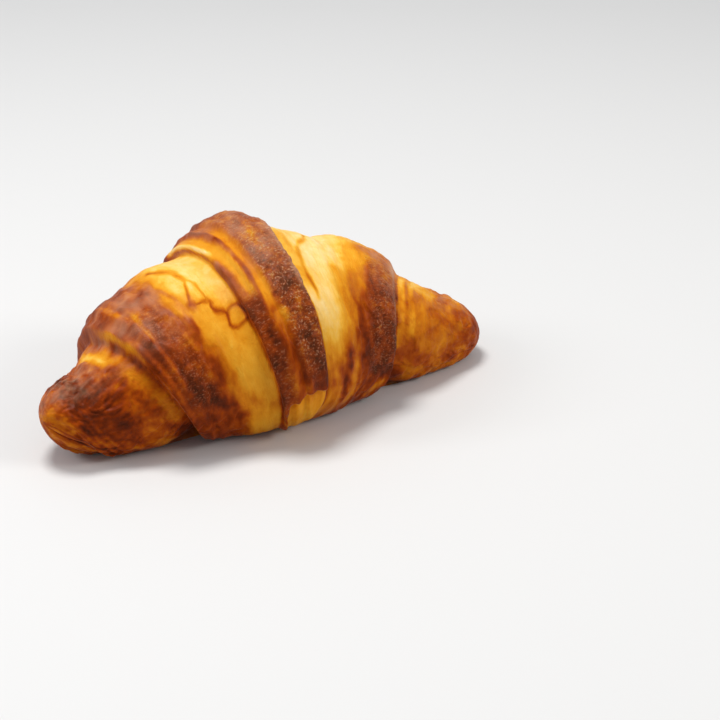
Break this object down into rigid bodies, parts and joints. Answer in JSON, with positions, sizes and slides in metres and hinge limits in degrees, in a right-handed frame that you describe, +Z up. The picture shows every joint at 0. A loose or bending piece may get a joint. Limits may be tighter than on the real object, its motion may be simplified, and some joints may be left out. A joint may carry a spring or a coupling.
{
  "type": "croissant",
  "caption": "Whole baked croissant: a rolled, layered crescent pastry with overlapping lips, a broad crown band and tapered ends, resting on its flat underside.",
  "frame": {"origin": "centre of the bounding box in X and Y, on the flat underside", "axes": "+X along the roll, from the blunt end towards the end with the broad shoulder lip; -Y is the front, where the crown band's cut end shows; +Z up"},
  "size_m": [0.16, 0.084, 0.063],
  "materials": {
    "crust": "egg-washed baked crust with a satin shine, from pale gold in the stretched layers to dark brown on the lips"
  },
  "bodies": {
    "root": {"croissant": "crust"}
  },
  "joints": []
}
